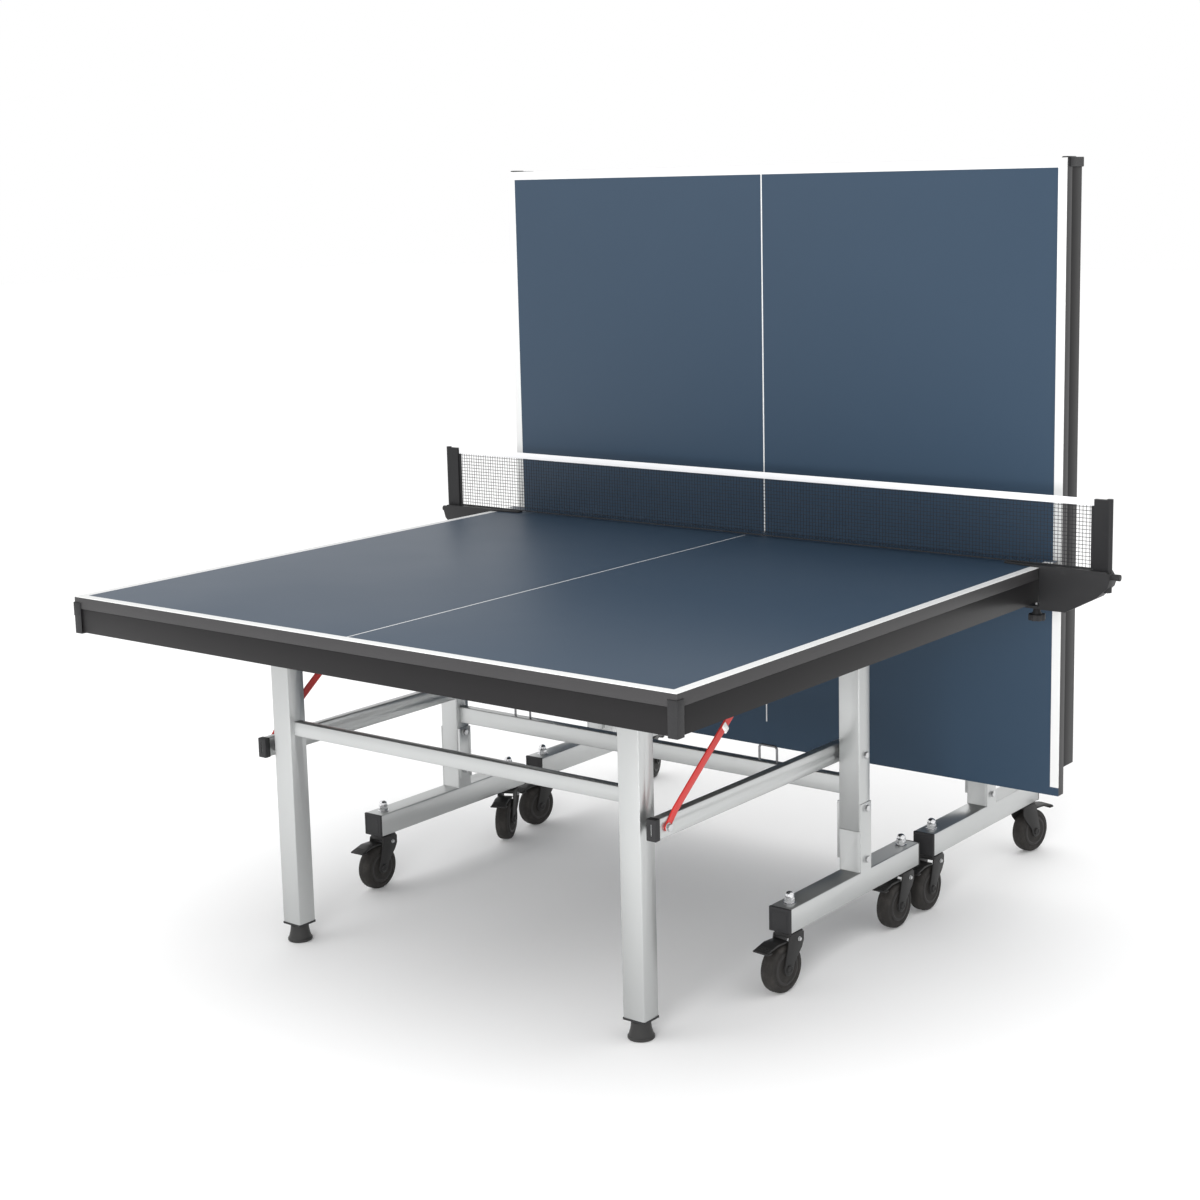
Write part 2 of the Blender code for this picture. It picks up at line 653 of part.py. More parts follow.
def add_sides(name, bm, finish_name, origin, place, labels=("right", "left")):
    """Piece at +x and its mirrored twin; labels name the two in that order."""
    twin = mirrored(bm)
    node(name + "_" + labels[0], bm, finish_name, origin, place)
    opposite = (-origin[0], origin[1], origin[2])
    node(name + "_" + labels[1], twin, finish_name, opposite, place)


def build_half(prefix, base, fold, bar_front, swivels, labels):
    """base places the half on the floor, fold is how far its top is turned up."""
    sides = ((labels[0], 1), (labels[1], -1))
    top_pivot = Vector((0.0, -UPRIGHT_Y, TOP_PIVOT_Z))
    top = base @ fold_matrix(-UPRIGHT_Y, TOP_PIVOT_Z, fold)
    link = base @ fold_matrix(-UPRIGHT_Y, LINK_Z, fold)
    leg_pin = Vector((0.0, -LEG_PIVOT_Y, TOP_PIVOT_Z))
    carried = fold_matrix(-UPRIGHT_Y, TOP_PIVOT_Z, fold) @ leg_pin
    legs = base @ Matrix.Translation(carried - leg_pin)
    lever_pin = Vector((0.0, -LEG_PIVOT_Y, LINK_Z))
    lever = link @ fold_matrix(lever_pin.y, lever_pin.z, fold * LEVER_SWING)

    node(prefix + "_tabletop", make_board(), "table_blue", top_pivot, top)
    node(prefix + "_apron_frame", make_apron(), "apron_black", top_pivot, top)
    corner = (HALF_WIDTH / 2, -HALF_LENGTH, SURFACE_Z)
    add_sides(prefix + "_corner_guard", make_guard(), "moulded_black", corner, top, labels)

    y_front = -UPRIGHT_Y - bar_front
    frame_at = (FRAME_X, -UPRIGHT_Y, BAR_Z)
    frame = make_t_frame(y_front)
    add_sides(prefix + "_t_frame", frame, "frame_silver", frame_at, base, labels)
    node(prefix + "_crossbar", make_crossbar(), "frame_silver", (0, -UPRIGHT_Y, CROSS_LOW), base)
    node(prefix + "_leg_frame", make_leg_frame(), "frame_silver", leg_pin, legs)
    for label, side in sides:
        node(prefix + "_foot_" + label, make_foot(side), "moulded_black",
             (side * LEG_X, -LEG_Y, LEG_BOTTOM), legs, True)
    link_at = (LINK_X, -UPRIGHT_Y, LINK_Z)
    add_sides(prefix + "_link", make_link(), "frame_silver", link_at, link, labels)
    lever_at = (LINK_X + LINK_W / 2, -LEG_PIVOT_Y, LINK_Z)
    add_sides(prefix + "_lever", make_lever(), "lever_red", lever_at, lever, labels)

    ends = (("outer", y_front + STEM_IN), ("inner", y_front + BAR_LENGTH - STEM_IN))
    for end, stem_y in ends:
        for label, side in sides:
            tag = end + "_" + label
            stem = Matrix.Translation(Vector((side * FRAME_X, stem_y, 0.0)))
            place = base @ stem @ Matrix.Rotation(math.radians(swivels[tag]), 4, "Z")
            node(prefix + "_fork_" + tag, make_fork(), "moulded_black", (0, 0, 0), place, False)
            hub = place @ Matrix.Translation(Vector((0.0, -TRAIL, WHEEL_R)))
            node(prefix + "_wheel_" + tag, make_wheel(), "tread_black", (0, 0, 0), hub, True)
            node(prefix + "_pedal_" + tag, make_pedal(), "moulded_black",
                 (0, -0.030, 0.106), place, False)


def centre_on_origin():
    """Shift everything so that the box, cord left out, stands centred on the origin."""
    bpy.context.view_layer.update()
    low, high = Vector((9, 9, 9)), Vector((-9, -9, -9))
    for thing in bpy.data.objects:
        if thing.type != "MESH":
            continue
        for vertex in thing.data.vertices:
            at = thing.matrix_world @ vertex.co
            low = Vector(map(min, low, at))
            high = Vector(map(max, high, at))
    shift = Vector((-(low.x + high.x) / 2, -(low.y + high.y) / 2, -low.z))
    for thing in bpy.data.objects:
        thing.matrix_world = Matrix.Translation(shift) @ thing.matrix_world
    print("shift", [round(v, 6) for v in shift], "size", [round(v, 6) for v in high - low])


def main():
    clear_scene()
    near = Matrix.Identity(4)
    far = Matrix.Translation(Vector((0, FAR_UPRIGHT_Y - UPRIGHT_Y, 0))) @ Matrix.Rotation(math.pi, 4, "Z")
    near_swivels = {"outer_right": -5, "outer_left": 2, "inner_right": -2, "inner_left": 24}
    far_swivels = {"outer_right": -12, "outer_left": 20, "inner_right": 180, "inner_left": 175}
    build_half("near", near, 0.0, NEAR_BAR_FRONT, near_swivels, ("right", "left"))
    build_half("far", far, FAR_FOLD, FAR_BAR_FRONT, far_swivels, ("left", "right"))
    post_at = (POST_X, -NET_Y, SURFACE_Z)
    add_sides("net_bracket", make_bracket(), "moulded_black", post_at, near)
    add_sides("net_post", make_post(), "moulded_black", post_at, near)
    clamp_at = (HALF_WIDTH / 2 - 0.0115, -NET_Y, APRON_LOW)
    add_sides("net_clamp", make_clamp(), "moulded_black", clamp_at, near)
    node("net_mesh", make_net(), "net_black", (0, -NET_Y, SURFACE_Z), near)
    make_cord(near)
    centre_on_origin()


main()
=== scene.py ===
import json
import math

import bpy
from mathutils import Matrix, Vector

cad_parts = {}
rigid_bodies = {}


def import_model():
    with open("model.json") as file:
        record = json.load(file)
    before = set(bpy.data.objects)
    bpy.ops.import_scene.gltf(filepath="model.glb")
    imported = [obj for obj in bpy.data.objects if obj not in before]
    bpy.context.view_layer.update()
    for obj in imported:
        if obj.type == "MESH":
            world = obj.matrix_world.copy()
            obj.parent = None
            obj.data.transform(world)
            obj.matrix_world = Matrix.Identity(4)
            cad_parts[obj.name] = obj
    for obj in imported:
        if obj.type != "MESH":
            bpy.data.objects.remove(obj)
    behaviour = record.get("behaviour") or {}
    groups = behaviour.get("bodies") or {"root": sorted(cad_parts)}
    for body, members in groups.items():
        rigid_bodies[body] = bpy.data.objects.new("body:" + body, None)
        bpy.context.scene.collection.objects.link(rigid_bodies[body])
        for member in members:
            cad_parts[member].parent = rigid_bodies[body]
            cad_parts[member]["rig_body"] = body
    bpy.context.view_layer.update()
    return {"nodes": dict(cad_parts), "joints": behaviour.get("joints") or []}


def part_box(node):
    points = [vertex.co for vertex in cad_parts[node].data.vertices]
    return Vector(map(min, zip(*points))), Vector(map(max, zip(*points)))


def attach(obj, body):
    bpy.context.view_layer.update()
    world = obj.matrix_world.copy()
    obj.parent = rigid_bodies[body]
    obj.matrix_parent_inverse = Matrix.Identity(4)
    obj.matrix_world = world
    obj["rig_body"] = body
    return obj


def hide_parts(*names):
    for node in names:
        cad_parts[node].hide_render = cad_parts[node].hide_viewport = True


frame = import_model()
joints = {joint["name"]: joint for joint in frame["joints"]}
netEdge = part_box("near_tabletop")[1].y  # y of the playing half's net edge
halves = ("near", "far")


# camera and cord

cameraSetting = {
    "place": (2.6645, -3.9402, 1.5585),  # y counts from the net edge
    "turn": (80.265, 1.0815, 36.708),
    "lens": 61.55,
    "shift": (-0.05, -0.05),
}


def setCamera():
    data = bpy.data.cameras.new("camera")
    data.sensor_width = 36
    data.lens = cameraSetting["lens"]
    data.shift_x, data.shift_y = cameraSetting["shift"]
    camera = bpy.data.objects.new("camera", data)
    bpy.context.scene.collection.objects.link(camera)
    x, y, z = cameraSetting["place"]
    camera.location = (x, netEdge + y, z)
    camera.rotation_euler = [math.radians(angle) for angle in cameraSetting["turn"]]
    bpy.context.scene.camera = camera


cordSetting = {"radius": 0.001, "drop": 0.150, "start": (0.910, -0.070, 0.7177), "points": 20}


def makeCord():
    x, y, z = cordSetting["start"]
    count = cordSetting["points"]
    curve = bpy.data.curves.new("netCordTail", "CURVE")
    curve.dimensions = "3D"
    curve.bevel_depth = cordSetting["radius"]
    curve.bevel_resolution = 3
    curve.use_fill_caps = True
    spline = curve.splines.new("POLY")
    spline.points.add(count - 1)
    points = []
    for i in range(count):
        t = i / (count - 1)
        swing = 0.010 * math.sin(math.pi * t) - 0.004 * t
        points.append((x + swing, netEdge + y, z - cordSetting["drop"] * t))
        spline.points[i].co = (*points[-1], 1.0)
    cord = bpy.data.objects.new("netCordTail", curve)
    bpy.context.scene.collection.objects.link(cord)
    bpy.ops.object.select_all(action="DESELECT")
    cord.select_set(True)
    bpy.context.view_layer.objects.active = cord
    bpy.ops.object.convert(target="MESH")
    cord = bpy.context.object
    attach(cord, "near_top")
    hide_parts("net_cord")
    return cord


setCamera()
netCordTail = makeCord()
print("camera and cord are in place")


# modelling helpers

def clearSelection():
    active = bpy.context.view_layer.objects.active
    if active and active.mode != "OBJECT":
        bpy.ops.object.mode_set(mode="OBJECT")
    bpy.ops.object.select_all(action="DESELECT")


def activate(piece):
    clearSelection()
    piece.select_set(True)
    bpy.context.view_layer.objects.active = piece


def pickFaces(piece, test):
    activate(piece)
    bpy.ops.object.mode_set(mode="EDIT")
    bpy.ops.mesh.select_mode(type="FACE")
    bpy.ops.mesh.select_all(action="DESELECT")
    bpy.ops.object.mode_set(mode="OBJECT")
    for face in piece.data.polygons:
        face.select = bool(test(face.center, face.normal))
    bpy.ops.object.mode_set(mode="EDIT")


def tidyMesh(piece, flatAngle=0.3):
    activate(piece)
    bpy.ops.object.mode_set(mode="EDIT")
    bpy.ops.mesh.select_mode(type="VERT")
    bpy.ops.mesh.select_all(action="SELECT")
    bpy.ops.mesh.remove_doubles(threshold=1e-5)
    bpy.ops.mesh.dissolve_limited(angle_limit=math.radians(flatAngle))
    bpy.ops.object.mode_set(mode="OBJECT")


def turnOutwards(piece):
    activate(piece)
    bpy.ops.object.mode_set(mode="EDIT")
    bpy.ops.mesh.select_all(action="SELECT")
    bpy.ops.mesh.normals_make_consistent(inside=False)
    bpy.ops.object.mode_set(mode="OBJECT")


def addModifier(piece, kind, **settings):
    activate(piece)
    modifier = piece.modifiers.new(kind.lower(), kind)
    for key, value in settings.items():
        setattr(modifier, key, value)
    bpy.ops.object.modifier_apply(modifier=modifier.name)


def roundEdges(piece, width, segments=2, angle=30):
    addModifier(piece, "BEVEL", width=width, segments=segments, limit_method="ANGLE",
                angle_limit=math.radians(angle), use_clamp_overlap=True)


def shadeSoft(piece, angle=35):
    activate(piece)
    bpy.ops.object.shade_smooth_by_angle(angle=math.radians(angle))


def block(name, low, high, width=0.0008, segments=2):
    clearSelection()
    centre = [(a + b) / 2 for a, b in zip(low, high)]
    bpy.ops.mesh.primitive_cube_add(size=1, location=centre)
    piece = bpy.context.object
    piece.name = name
    piece.scale = [b - a for a, b in zip(low, high)]
    bpy.ops.object.transform_apply(location=True, rotation=True, scale=True)
    roundEdges(piece, width, segments)
    shadeSoft(piece)
    return piece


def turned(name, profile, sides=32, angle=35):
    # grows a round piece along z, ring by ring, from (radius, height) steps
    clearSelection()
    radius, height = profile[0]
    bpy.ops.mesh.primitive_circle_add(vertices=sides, radius=radius, fill_type="NGON",
                                      location=(0, 0, height))
    piece = bpy.context.object
    piece.name = name
    bpy.ops.object.transform_apply(location=True, rotation=True, scale=True)
    bpy.ops.object.mode_set(mode="EDIT")
    bpy.ops.mesh.select_all(action="SELECT")
    for newRadius, newHeight in profile[1:]:
        rise = (0, 0, newHeight - height)
        bpy.ops.mesh.extrude_region_move(TRANSFORM_OT_translate={"value": rise})
        grow = newRadius / radius
        bpy.ops.transform.resize(value=(grow, grow, 1), center_override=(0, 0, newHeight))
        radius, height = newRadius, newHeight
    bpy.ops.mesh.select_all(action="SELECT")
    bpy.ops.mesh.remove_doubles(threshold=1e-6)
    bpy.ops.mesh.normals_make_consistent(inside=False)
    bpy.ops.object.mode_set(mode="OBJECT")
    shadeSoft(piece, angle)
    return piece


def joined(name, pieces):
    clearSelection()
    for piece in pieces:
        piece.select_set(True)
    bpy.context.view_layer.objects.active = pieces[0]
    bpy.ops.object.join()
    pieces[0].name = name
    return pieces[0]


def laid(piece, matrix):
    piece.data.transform(matrix)
    if matrix.determinant() < 0:
        turnOutwards(piece)
    return piece


def paint(piece, material):
    piece.data.materials.clear()
    piece.data.materials.append(material)
    return piece


def stamp(template, name, matrix, body, replaces=()):
    # one more copy of a finished piece, with its own mesh, set in place
    piece = bpy.data.objects.new(name, template.data.copy())
    bpy.context.scene.collection.objects.link(piece)
    laid(piece, matrix)
    return settled(piece, body, replaces)


def settled(piece, body, replaces=()):
    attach(piece, body)
    if replaces:
        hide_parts(*replaces)
    return piece


def discard(*pieces):
    for piece in pieces:
        bpy.data.objects.remove(piece, do_unlink=True)


def softened(node, material, width=0.0008, segments=2, angle=30):
    # copy of a node with its edges rounded, standing for it
    source = frame["nodes"][node]
    piece = bpy.data.objects.new(node + "Shape", source.data.copy())
    bpy.context.scene.collection.objects.link(piece)
    activate(piece)
    if piece.data.has_custom_normals:
        bpy.ops.mesh.customdata_custom_splitnormals_clear()
    tidyMesh(piece)
    roundEdges(piece, width, segments, angle)
    shadeSoft(piece)
    paint(piece, material)
    return settled(piece, source["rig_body"], (node,))


def markFaces(piece, material, test):
    # gives the faces that pass the test a second finish
    piece.data.materials.append(material)
    index = len(piece.data.materials) - 1
    for face in piece.data.polygons:
        if test(face.center, face.normal):
            face.material_index = index


def along(axis):
    # turns a piece made along z to lie along another axis
    if axis == "x":
        return Matrix.Rotation(math.radians(90), 4, "Y")
    if axis == "-x":
        return Matrix.Rotation(math.radians(-90), 4, "Y")
    if axis == "y":
        return Matrix.Rotation(math.radians(-90), 4, "X")
    return Matrix.Identity(4)


def at(x, y, z):
    return Matrix.Translation(Vector((x, y, z)))


# where each half's bodies stand

def pivot(joint):
    place = joints[joint]["pos_m"]
    return Vector((0, place[1], place[2]))


def folded(centre, degrees):
    return at(*centre) @ Matrix.Rotation(-math.radians(degrees), 4, "X") @ at(*(-centre))


upPivot = pivot("near_fold")
linkPivot = pivot("near_link_pivot_left")
legPivot = pivot("near_leg_pivot")
lockPivot = pivot("near_lever_pivot_left")
farAcross = at(0, upPivot.y + pivot("far_fold").y, 0) @ Matrix.Diagonal((-1, -1, 1, 1))
lockSwing = joints["near_lever_pivot_left"]["range_deg"][1]
groups = ("chassis", "top", "link", "legs", "lever")
groupPlaces = {("near", group): Matrix.Identity(4) for group in groups}
groupPlaces["far", "chassis"] = farAcross
groupPlaces["far", "top"] = farAcross @ folded(upPivot, 90)
groupPlaces["far", "link"] = farAcross @ folded(linkPivot, 90)
groupPlaces["far", "legs"] = farAcross @ at(*(folded(upPivot, 90) @ legPivot - legPivot))
groupPlaces["far", "lever"] = groupPlaces["far", "link"] @ folded(lockPivot, lockSwing)


def sideName(half, side):
    return "right" if (side > 0) == (half == "near") else "left"


def bodyName(half, group, side):
    if group in ("link", "lever"):
        return half + "_" + group + "_" + sideName(half, side)
    return half + "_" + group


def stampSides(template, name, matrix, group, replaces=None, onHalves=halves):
    # the piece is made for the near half's right side; the other three are copies
    for half in onHalves:
        for side in (1, -1):
            label = sideName(half, side)
            mirror = Matrix.Diagonal((side, 1, 1, 1))
            place = groupPlaces[half, group] @ mirror @ matrix
            nodes = (half + "_" + replaces + "_" + label,) if replaces else ()
            stamp(template, half + name + label.capitalize(), place,
                  bodyName(half, group, side), nodes)


# finishes

class Signal:
    def __init__(self, shop, socket):
        self.shop = shop
        self.socket = socket

    def __add__(self, other):
        return self.shop.calc("ADD", self, other)

    def __radd__(self, other):
        return self.shop.calc("ADD", other, self)

    def __sub__(self, other):
        return self.shop.calc("SUBTRACT", self, other)

    def __rsub__(self, other):
        return self.shop.calc("SUBTRACT", other, self)

    def __mul__(self, other):
        return self.shop.calc("MULTIPLY", self, other)

    def __rmul__(self, other):
        return self.shop.calc("MULTIPLY", other, self)

    def __truediv__(self, other):
        return self.shop.calc("DIVIDE", self, other)

    def __gt__(self, other):
        return self.shop.calc("GREATER_THAN", self, other)

    def __lt__(self, other):
        return self.shop.calc("LESS_THAN", self, other)

    def __abs__(self):
        return self.shop.calc("ABSOLUTE", self)


class PaintShop:
    def __init__(self, name, roughness=0.5, metallic=0.0, specular=0.5):
        self.material = bpy.data.materials.new(name)
        self.material.use_nodes = True
        self.tree = self.material.node_tree
        self.shader = self.tree.nodes["Principled BSDF"]
        self.shader.inputs["Roughness"].default_value = roughness
        self.shader.inputs["Metallic"].default_value = metallic
        self.shader.inputs["Specular IOR Level"].default_value = specular
        self.place = self.add("ShaderNodeTexCoord").outputs["Object"]

    def feed(self, socket, value):
        if isinstance(value, Signal):
            self.tree.links.new(value.socket, socket)
        elif isinstance(value, bpy.types.NodeSocket):
            self.tree.links.new(value, socket)
        else:
            socket.default_value = value

    def add(self, kind, settings=None, inputs=None):
        node = self.tree.nodes.new(kind)
        for key, value in (settings or {}).items():
            if key == "stops":
                while len(node.color_ramp.elements) < len(value):
                    node.color_ramp.elements.new(0.5)
                for element, (position, colour) in zip(node.color_ramp.elements, value):
                    element.position = position
                    element.color = colour
            else:
                setattr(node, key, value)
        for key, value in (inputs or {}).items():
            self.feed(node.inputs[key], value)
        return node

    def calc(self, operation, *values):
        node = self.add("ShaderNodeMath", {"operation": operation}, dict(enumerate(values)))
        return Signal(self, node.outputs[0])

    def split(self):
        node = self.add("ShaderNodeSeparateXYZ", inputs={0: self.place})
        return [Signal(self, node.outputs[i]) for i in range(3)]

    def noise(self, scale, detail=2.0, roughness=0.5, stretch=None):
        place = self.place
        if stretch:
            place = self.add("ShaderNodeMapping", inputs={"Vector": place, "Scale": stretch}).outputs[0]
        node = self.add("ShaderNodeTexNoise", inputs={
            "Vector": place, "Scale": scale, "Detail": detail, "Roughness": roughness})
        return Signal(self, node.outputs[0])

    def smooth(self, value, low, high):
        node = self.add("ShaderNodeMapRange", {"interpolation_type": "SMOOTHSTEP"},
                        {"Value": value, "From Min": low, "From Max": high})
        return Signal(self, node.outputs[0])

    def mix(self, factor, first, second):
        node = self.add("ShaderNodeMix", {"data_type": "RGBA"}, {0: factor, 6: first, 7: second})
        return node.outputs[2]

    def colour(self, value):
        self.feed(self.shader.inputs["Base Color"], value)

    def rough(self, value):
        self.feed(self.shader.inputs["Roughness"], value)

    def bump(self, height, strength=0.2, distance=0.0002):
        node = self.add("ShaderNodeBump", inputs={
            "Height": height, "Strength": strength, "Distance": distance})
        self.feed(self.shader.inputs["Normal"], node.outputs[0])


def rgb(red, green, blue):
    return (red, green, blue, 1.0)


boardFinish = {
    "blue": rgb(0.021, 0.042, 0.071),
    "blueLight": rgb(0.026, 0.050, 0.083),
    "line": rgb(0.66, 0.665, 0.66),
    "edge": rgb(0.030, 0.029, 0.030),
    "under": rgb(0.030, 0.030, 0.031),
    "lineWidth": 0.020,
    "centreWidth": 0.0032,
    "sideStop": 0.019,
    "centreStop": 0.060,
}


def boardPaint(half):
    low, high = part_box(half + "_tabletop")
    s = boardFinish
    shop = PaintShop(half + "BoardPaint", 0.42, 0.0, 0.36)
    x, y, z = shop.split()
    if half == "near":
        fromNet = high.y - y
        onTop = z > high.z - 0.0011
        length = high.y - low.y
        underSide = z < low.z + 0.0008
    else:
        fromNet = z - low.z
        onTop = y < low.y + 0.0011
        length = high.z - low.z
        underSide = y > high.y - 0.0008
    across = abs(x)
    side = (across > high.x - s["lineWidth"]) * (fromNet > s["sideStop"])
    end = fromNet > length - s["lineWidth"]
    centre = (across < s["centreWidth"] / 2) * (fromNet > s["centreStop"])
    line = shop.calc("MAXIMUM", shop.calc("MAXIMUM", side, end), centre)
    cloud = shop.noise(1.4, 3.0)
    grain = shop.noise(2400.0, 2.0, 0.7)
    blue = shop.mix(cloud * 0.7 + grain * 0.3, s["blue"], s["blueLight"])
    top = shop.mix(line, blue, s["line"])
    body = shop.mix(underSide, s["edge"], s["under"])
    shop.colour(shop.mix(onTop, body, top))
    shop.rough(0.40 + 0.08 * shop.noise(3.0, 2.0) + 0.06 * grain - 0.03 * line)
    shop.bump(grain * 0.6 + shop.noise(420.0, 2.0) * 0.4 + line * 0.15, 0.10, 0.0002)
    return shop.material


def powderPaint(name, dark, light, roughness, metallic, fine=1500.0, strength=0.14, specular=0.5):
    # sprayed powder: slow tone changes, fine pebbled skin
    shop = PaintShop(name, roughness, metallic, specular)
    cloud = shop.noise(7.0, 3.0)
    pebble = shop.noise(fine, 2.0, 0.6)
    shop.colour(shop.mix(cloud * 0.55 + pebble * 0.45, dark, light))
    shop.rough(roughness - 0.06 + 0.10 * pebble + 0.05 * cloud)
    shop.bump(pebble * 0.7 + shop.noise(fine * 0.3, 2.0) * 0.3, strength, 0.00025)
    return shop.material


def mouldedPaint(name, dark, light, roughness, fine=2600.0, strength=0.2):
    # moulded plastic: spark-textured skin with scuffs
    shop = PaintShop(name, roughness, 0.0, 0.28)
    skin = shop.noise(fine, 3.0, 0.7)
    scuff = shop.smooth(shop.noise(38.0, 5.0, 0.75), 0.60, 0.75)
    shop.colour(shop.mix(skin * 0.6 + scuff * 0.4, dark, light))
    shop.rough(roughness + 0.08 * skin - 0.10 * scuff)
    shop.bump(skin, strength, 0.00018)
    return shop.material


def metalPaint(name, dark, light, roughness, brush=1.0):
    # plated or drawn metal with faint turning marks
    shop = PaintShop(name, roughness, 1.0)
    mark = shop.noise(520.0, 3.0, 0.6, (1.0, 1.0, 6.0))
    stain = shop.noise(90.0, 3.0)
    shop.colour(shop.mix(stain * 0.6 + mark * 0.4, dark, light))
    shop.rough(roughness + 0.10 * mark * brush + 0.06 * stain)
    shop.bump(mark, 0.06 * brush, 0.0001)
    return shop.material


def rubberPaint(name):
    shop = PaintShop(name, 0.7, 0.0, 0.3)
    dust = shop.smooth(shop.noise(60.0, 5.0, 0.7), 0.42, 0.75)
    grit = shop.noise(1300.0, 2.0, 0.7)
    shop.colour(shop.mix(dust * 0.8 + grit * 0.2, rgb(0.014, 0.013, 0.012), rgb(0.034, 0.031, 0.029)))
    shop.rough(0.60 + 0.15 * grit + 0.08 * dust)
    shop.bump(grit * 0.6 + dust * 0.4, 0.25, 0.0002)
    return shop.material


def clothPaint(name, dark, light, pitch, strength=0.4):
    # woven threads in the plane of the net
    shop = PaintShop(name, 0.85)
    x, _, z = shop.split()
    warp = shop.calc("SINE", x * (2 * math.pi / pitch))
    weft = shop.calc("SINE", z * (2 * math.pi / pitch))
    weave = (warp * weft) * 0.5 + 0.5
    fuzz = shop.noise(1800.0, 3.0, 0.7)
    shop.colour(shop.mix(weave * 0.6 + fuzz * 0.4, dark, light))
    shop.rough(0.80 + 0.12 * fuzz)
    shop.bump(weave * 0.7 + fuzz * 0.3, strength, 0.0003)
    return shop.material


def braidPaint(name, dark, light):
    shop = PaintShop(name, 0.75)
    x, _, z = shop.split()
    twist = shop.calc("SINE", z * 5200.0 + x * 2600.0) * 0.5 + 0.5
    fuzz = shop.noise(2200.0, 3.0, 0.7)
    shop.colour(shop.mix(twist * 0.6 + fuzz * 0.4, dark, light))
    shop.rough(0.70 + 0.15 * fuzz)
    shop.bump(twist * 0.7 + fuzz * 0.3, 0.5, 0.0003)
    return shop.material


boardPaints = {half: boardPaint(half) for half in halves}
apronPaint = powderPaint("apronBlack", rgb(0.008, 0.008, 0.008), rgb(0.014, 0.013, 0.014), 0.36, 0.0,
                         specular=0.17)
silverPaint = powderPaint("frameSilver", rgb(0.48, 0.49, 0.49), rgb(0.555, 0.565, 0.56), 0.31, 0.86,
                          strength=0.08)
plasticPaint = mouldedPaint("mouldedBlack", rgb(0.012, 0.012, 0.013), rgb(0.032, 0.032, 0.033), 0.46)
capPaint = mouldedPaint("capBlack", rgb(0.016, 0.016, 0.017), rgb(0.034, 0.034, 0.035), 0.52, 1800.0)
forkPaint = mouldedPaint("forkBlack", rgb(0.012, 0.012, 0.012), rgb(0.028, 0.027, 0.027), 0.40, 1500.0)
hubPaint = mouldedPaint("hubBlack", rgb(0.016, 0.015, 0.015), rgb(0.036, 0.034, 0.033), 0.42, 1900.0)
footPaint = mouldedPaint("footBlack", rgb(0.018, 0.018, 0.018), rgb(0.042, 0.041, 0.040), 0.38, 1500.0)
treadPaint = rubberPaint("treadRubber")
chromePaint = metalPaint("chromeNut", rgb(0.66, 0.67, 0.68), rgb(0.82, 0.82, 0.83), 0.12, 0.4)
zincPaint = metalPaint("zincBolt", rgb(0.52, 0.53, 0.54), rgb(0.70, 0.70, 0.70), 0.28)
wirePaint = metalPaint("wireGrey", rgb(0.20, 0.20, 0.21), rgb(0.32, 0.32, 0.33), 0.35)
redPaint = powderPaint("lockRed", rgb(0.43, 0.022, 0.020), rgb(0.55, 0.035, 0.030), 0.34, 0.0, 900.0, 0.08)
sleevePaint = mouldedPaint("sleeveWhite", rgb(0.66, 0.66, 0.65), rgb(0.78, 0.78, 0.77), 0.42)
threadPaint = braidPaint("netThread", rgb(0.008, 0.008, 0.010), rgb(0.022, 0.022, 0.026))
tapePaint = clothPaint("tapeWhite", rgb(0.66, 0.66, 0.67), rgb(0.86, 0.86, 0.87), 0.0011)
bindingPaint = clothPaint("bindingBlack", rgb(0.010, 0.010, 0.011), rgb(0.026, 0.026, 0.028), 0.0012)
cordPaint = braidPaint("cordWhite", rgb(0.62, 0.62, 0.62), rgb(0.86, 0.86, 0.86))
paint(netCordTail, cordPaint)
print("finishes are mixed")


# boards, channels and corners

def makeTops():
    for half in halves:
        low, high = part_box(half + "_tabletop")
        board = block(half + "Board", low, high, 0.0010, 3)
        paint(board, boardPaints[half])
        settled(board, half + "_top", (half + "_tabletop",))
        softened(half + "_apron_frame", apronPaint, 0.0006, 2)
        for label in ("left", "right"):
            softened(half + "_corner_guard_" + label, plasticPaint, 0.0004, 2)


makeTops()
print("boards, channels and corners are done")


# frames, links, levers and legs

tubeSetting = {
    "barOut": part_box("near_t_frame_right")[1].x,
    "upOut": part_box("near_t_frame_right")[1].x - 0.0025,
    "upIn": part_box("near_t_frame_right")[1].x - 0.0515,
    "barTop": 0.174,
    "barMiddle": joints["near_swivel_outer_right"]["pos_m"][0],
    "plate": 0.0030,
    "capOut": 0.0025,
    "capGap": 0.0002,
    "capIn": 0.004,
}


def hexHead(name, across, height, washer, washerHeight=0.0014):
    # hexagon head with a turned face, on a washer, growing along z
    ring = turned("ring", [(washer - 0.0006, 0.0), (washer, 0.0004), (washer, washerHeight - 0.0004),
                           (washer - 0.0006, washerHeight)], 32)
    corner = across / math.sqrt(3)
    head = turned("head", [(corner, washerHeight), (corner, washerHeight + height - 0.0012),
                           (corner * 0.93, washerHeight + height - 0.0002),
                           (corner * 0.80, washerHeight + height)], 6, 20)
    roundEdges(head, 0.0005, 2, 40)
    shadeSoft(head, 30)
    return joined(name, [ring, head])


def domeNut(name):
    # washer, hexagon and a domed cap with a collar
    ring = turned("ring", [(0.0118, 0.0), (0.0124, 0.0004), (0.0124, 0.0012), (0.0118, 0.0016)], 36)
    body = turned("body", [(0.0105, 0.0016), (0.0105, 0.0108), (0.0096, 0.0120)], 6, 20)
    roundEdges(body, 0.0006, 2, 40)
    shadeSoft(body, 30)
    collar = turned("collar", [(0.0092, 0.0118), (0.0096, 0.0124), (0.0096, 0.0140), (0.0088, 0.0148),
                               (0.0088, 0.0168), (0.0084, 0.0192), (0.0072, 0.0214), (0.0052, 0.0230),
                               (0.0026, 0.0239), (0.0006, 0.0241)], 36, 40)
    return joined(name, [ring, body, collar])


